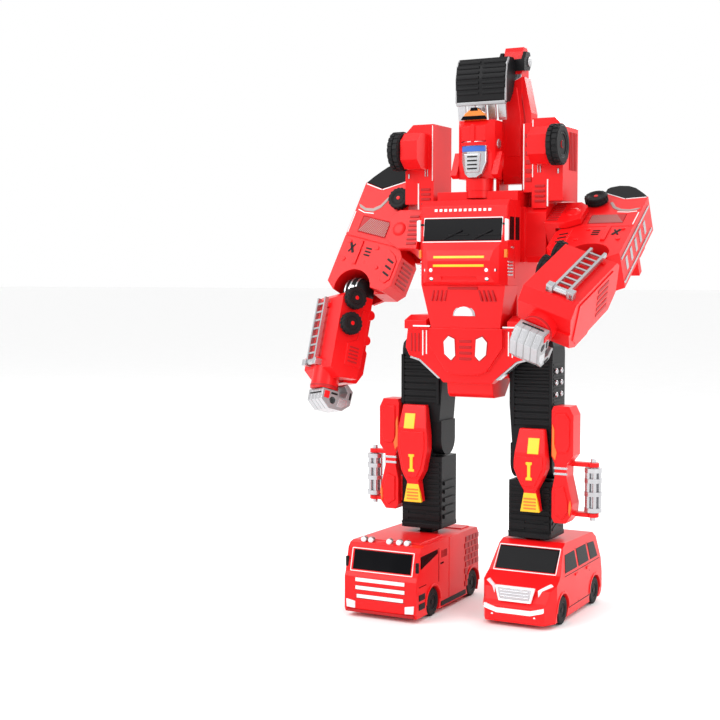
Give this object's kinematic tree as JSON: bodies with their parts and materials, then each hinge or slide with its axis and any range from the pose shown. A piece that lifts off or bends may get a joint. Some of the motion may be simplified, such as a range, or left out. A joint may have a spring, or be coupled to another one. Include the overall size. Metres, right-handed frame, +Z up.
{
  "type": "transforming toy robot",
  "caption": "Tall toy robot built from vehicle parts, with jointed arms and legs, a turning head, a lifting boom with a bucket, free wheels and grip holes in the fists.",
  "frame": {"origin": "centre of the bounding box at floor level, under the eight foot wheels", "axes": "+Z up, the robot faces -Y, +X is on the right of someone looking at its chest"},
  "size_m": [0.2416, 0.1696, 0.393],
  "materials": {
    "red_plastic": "vivid glossy red",
    "black_panel": "smooth gloss black",
    "tyre_black": "moulded black tyre",
    "black_plastic": "fine satin black",
    "silver_plastic": "silver-grey plated plastic",
    "amber_plastic": "clear amber look",
    "cell_wrap": "shrink wrap",
    "board_green": "solder mask",
    "screw_steel": "plated",
    "blue_window": "deep blue gloss",
    "lamp_lens": "clear white lens",
    "orange_paint": "orange paint",
    "white_paint": "white paint",
    "yellow_paint": "yellow paint",
    "gear_grey": "plain grey"
  },
  "bodies": {
    "torso": {"torso_frame": "red_plastic", "cab_shell": "red_plastic", "cab_windscreen": "black_panel", "belly_panel": "red_plastic", "back_cover": "red_plastic", "battery_pack": "cell_wrap", "battery_door": "red_plastic", "circuit_board": "board_green", "speaker": "black_plastic", "case_screws": "screw_steel", "pelvis_shell": "red_plastic", "transform_gearbox": "gear_grey"},
    "switch": {"power_switch": "black_plastic"},
    "head": {"head_helmet": "red_plastic", "face_plate": "silver_plastic", "head_crest": "amber_plastic"},
    "boom": {"boom_arm": "red_plastic"},
    "bucket": {"bucket_shell": "black_plastic", "bucket_teeth": "silver_plastic"},
    "tower_wheel_left": {"tower_wheel_left": "tyre_black"},
    "yoke_left": {"shoulder_yoke_left": "red_plastic"},
    "arm_left": {"upper_arm_left": "red_plastic", "arm_windscreen_left": "black_panel"},
    "arm_wheel_left": {"arm_wheel_left": "tyre_black"},
    "elbow_left": {"elbow_ball_left": "black_plastic"},
    "forearm_left": {"forearm_left": "red_plastic"},
    "fist_left": {"fist_left": "silver_plastic"},
    "ladder_left": {"ladder_left": "silver_plastic"},
    "fore_wheel_upper_left": {"fore_wheel_upper_left": "tyre_black"},
    "fore_wheel_lower_left": {"fore_wheel_lower_left": "tyre_black"},
    "thigh_left": {"thigh_left": "black_plastic"},
    "shin_left": {"shin_left": "black_plastic", "knee_shield_left": "red_plastic", "side_pod_left": "red_plastic"},
    "blaster_left": {"blaster_left": "silver_plastic"},
    "foot_truck": {"truck_body": "red_plastic", "truck_windscreen": "black_panel"},
    "truck_front_axle": {"truck_front_axle": "tyre_black"},
    "truck_rear_axle": {"truck_rear_axle": "tyre_black"},
    "tower_wheel_right": {"tower_wheel_right": "tyre_black"},
    "yoke_right": {"shoulder_yoke_right": "red_plastic"},
    "arm_right": {"upper_arm_right": "red_plastic", "arm_windscreen_right": "black_panel"},
    "arm_wheel_right": {"arm_wheel_right": "tyre_black"},
    "elbow_right": {"elbow_ball_right": "black_plastic"},
    "forearm_right": {"forearm_right": "red_plastic"},
    "fist_right": {"fist_right": "silver_plastic"},
    "ladder_right": {"ladder_right": "silver_plastic"},
    "fore_wheel_upper_right": {"fore_wheel_upper_right": "tyre_black"},
    "fore_wheel_lower_right": {"fore_wheel_lower_right": "tyre_black"},
    "thigh_right": {"thigh_right": "black_plastic"},
    "shin_right": {"shin_right": "black_plastic", "knee_shield_right": "red_plastic", "side_pod_right": "red_plastic"},
    "blaster_right": {"blaster_right": "silver_plastic"},
    "foot_suv": {"suv_body": "red_plastic", "suv_windscreen": "black_panel"},
    "suv_front_axle": {"suv_front_axle": "tyre_black"},
    "suv_rear_axle": {"suv_rear_axle": "tyre_black"}
  },
  "joints": [
    {"name": "head_turn", "type": "hinge", "parent": "torso", "child": "head", "pos_m": [0.00828, 0.01565, 0.29], "axis": [0, 0, 1], "range_deg": [-30, 30]},
    {"name": "boom_lift", "type": "hinge", "parent": "torso", "child": "boom", "pos_m": [0.02428, 0.04165, 0.303], "axis": [-1, 0, 0], "range_deg": [0, 60]},
    {"name": "bucket_tilt", "type": "hinge", "parent": "boom", "child": "bucket", "pos_m": [0.02428, 0.04165, 0.383], "axis": [-1, 0, 0], "range_deg": [0, 30]},
    {"name": "switch_slide", "type": "slide", "parent": "torso", "child": "switch", "axis": [1, 0, 0], "range_m": [0, 0.004]},
    {"name": "tower_wheel_left_spin", "type": "hinge", "parent": "torso", "child": "tower_wheel_left", "pos_m": [-0.05042, 0.00915, 0.3216], "axis": [1, 0, 0], "continuous": true},
    {"name": "shoulder_swing_left", "type": "hinge", "parent": "torso", "child": "yoke_left", "pos_m": [-0.05572, 0.03565, 0.2615], "axis": [-1, 0, 0], "range_deg": [-29, 71]},
    {"name": "shoulder_tilt_left", "type": "hinge", "parent": "yoke_left", "child": "arm_left", "pos_m": [-0.05572, 0.03565, 0.2615], "axis": [0, 0.9455, -0.3256], "range_deg": [-8, 2]},
    {"name": "arm_wheel_left_spin", "type": "hinge", "parent": "arm_left", "child": "arm_wheel_left", "pos_m": [-0.06025, 0.02834, 0.28941], "axis": [0, 0.9455, -0.3256], "continuous": true},
    {"name": "elbow_bend_left", "type": "hinge", "parent": "arm_left", "child": "elbow_left", "pos_m": [-0.08967, 0.02004, 0.22078], "axis": [0, -0.9455, 0.3256], "range_deg": [-8, 5]},
    {"name": "forearm_turn_left", "type": "hinge", "parent": "elbow_left", "child": "forearm_left", "pos_m": [-0.08992, 0.01549, 0.20755], "axis": [0.0175, 0.3255, 0.9454], "range_deg": [-26, 26]},
    {"name": "fore_wheel_upper_left_spin", "type": "hinge", "parent": "forearm_left", "child": "fore_wheel_upper_left", "pos_m": [-0.08102, -0.0008, 0.21775], "axis": [-0.8659, 0.4777, -0.1485], "continuous": true},
    {"name": "fore_wheel_lower_left_spin", "type": "hinge", "parent": "forearm_left", "child": "fore_wheel_lower_left", "pos_m": [-0.08135, -0.00698, 0.19979], "axis": [-0.8659, 0.4777, -0.1485], "continuous": true},
    {"name": "ladder_left_lift", "type": "hinge", "parent": "forearm_left", "child": "ladder_left", "pos_m": [-0.11, -0.0123, 0.172], "axis": [0.8659, -0.4777, 0.1485], "range_deg": [0, 70]},
    {"name": "wrist_left", "type": "hinge", "parent": "forearm_left", "child": "fist_left", "pos_m": [-0.10056, -0.01274, 0.15188], "axis": [0.0175, 0.3255, 0.9454], "range_deg": [-60, 60]},
    {"name": "hip_left", "type": "hinge", "parent": "torso", "child": "thigh_left", "pos_m": [-0.03272, 0.02215, 0.18], "axis": [1, 0, 0], "range_deg": [-15, 25]},
    {"name": "knee_left", "type": "hinge", "parent": "thigh_left", "child": "shin_left", "pos_m": [-0.03272, 0.02215, 0.118], "axis": [1, 0, 0], "range_deg": [0, 45]},
    {"name": "blaster_left_spin", "type": "hinge", "parent": "shin_left", "child": "blaster_left", "pos_m": [-0.07472, 0.01865, 0.089], "axis": [0, 0, 1], "continuous": true},
    {"name": "ankle_left", "type": "hinge", "parent": "shin_left", "child": "foot_truck", "pos_m": [-0.03272, 0.02215, 0.043], "axis": [1, 0, 0], "range_deg": [-8, 8]},
    {"name": "truck_front_axle_roll", "type": "hinge", "parent": "foot_truck", "child": "truck_front_axle", "pos_m": [-0.03572, -0.02315, 0.0097], "axis": [1, 0, 0], "continuous": true},
    {"name": "truck_rear_axle_roll", "type": "hinge", "parent": "foot_truck", "child": "truck_rear_axle", "pos_m": [-0.03572, 0.04465, 0.0097], "axis": [1, 0, 0], "continuous": true},
    {"name": "tower_wheel_right_spin", "type": "hinge", "parent": "torso", "child": "tower_wheel_right", "pos_m": [0.06698, 0.00915, 0.3216], "axis": [1, 0, 0], "continuous": true},
    {"name": "shoulder_swing_right", "type": "hinge", "parent": "torso", "child": "yoke_right", "pos_m": [0.07228, 0.03565, 0.2615], "axis": [-1, 0, 0], "range_deg": [-34, 30]},
    {"name": "shoulder_tilt_right", "type": "hinge", "parent": "yoke_right", "child": "arm_right", "pos_m": [0.07228, 0.03565, 0.2615], "axis": [0, -0.5, 0.866], "range_deg": [-1, 15]},
    {"name": "arm_wheel_right_spin", "type": "hinge", "parent": "arm_right", "child": "arm_wheel_right", "pos_m": [0.08209, 0.04703, 0.28654], "axis": [0, 0.5, -0.866], "continuous": true},
    {"name": "elbow_bend_right", "type": "hinge", "parent": "arm_right", "child": "elbow_right", "pos_m": [0.09556, -0.00849, 0.23775], "axis": [0, 0.5, -0.866], "range_deg": [-8, 5]},
    {"name": "forearm_turn_right", "type": "hinge", "parent": "elbow_right", "child": "forearm_right", "pos_m": [0.09265, -0.02035, 0.2309], "axis": [-0.2079, -0.8471, -0.4891], "range_deg": [-38, 12]},
    {"name": "fore_wheel_upper_right_spin", "type": "hinge", "parent": "forearm_right", "child": "fore_wheel_upper_right", "pos_m": [0.08078, -0.02219, 0.24834], "axis": [0.9403, -0.0353, -0.3386], "continuous": true},
    {"name": "fore_wheel_lower_right_spin", "type": "hinge", "parent": "forearm_right", "child": "fore_wheel_lower_right", "pos_m": [0.07683, -0.03829, 0.23905], "axis": [0.9403, -0.0353, -0.3386], "continuous": true},
    {"name": "ladder_right_lift", "type": "hinge", "parent": "forearm_right", "child": "ladder_right", "pos_m": [0.09859, -0.06898, 0.22469], "axis": [0.9403, -0.0353, -0.3386], "range_deg": [0, 70]},
    {"name": "wrist_right", "type": "hinge", "parent": "forearm_right", "child": "fist_right", "pos_m": [0.08357, -0.07312, 0.19939], "axis": [0.2079, 0.8471, 0.4891], "range_deg": [-60, 60]},
    {"name": "hip_right", "type": "hinge", "parent": "torso", "child": "thigh_right", "pos_m": [0.04928, 0.02215, 0.18], "axis": [1, 0, 0], "range_deg": [-15, 25]},
    {"name": "knee_right", "type": "hinge", "parent": "thigh_right", "child": "shin_right", "pos_m": [0.04928, 0.02215, 0.106], "axis": [1, 0, 0], "range_deg": [0, 45]},
    {"name": "blaster_right_spin", "type": "hinge", "parent": "shin_right", "child": "blaster_right", "pos_m": [0.09128, 0.01865, 0.089], "axis": [0, 0, 1], "continuous": true},
    {"name": "ankle_right", "type": "hinge", "parent": "shin_right", "child": "foot_suv", "pos_m": [0.04928, 0.02215, 0.043], "axis": [1, 0, 0], "range_deg": [-5, 5]},
    {"name": "suv_front_axle_roll", "type": "hinge", "parent": "foot_suv", "child": "suv_front_axle", "pos_m": [0.05228, -0.00335, 0.0097], "axis": [1, 0, 0], "continuous": true},
    {"name": "suv_rear_axle_roll", "type": "hinge", "parent": "foot_suv", "child": "suv_rear_axle", "pos_m": [0.05228, 0.06315, 0.0097], "axis": [1, 0, 0], "continuous": true}
  ]
}
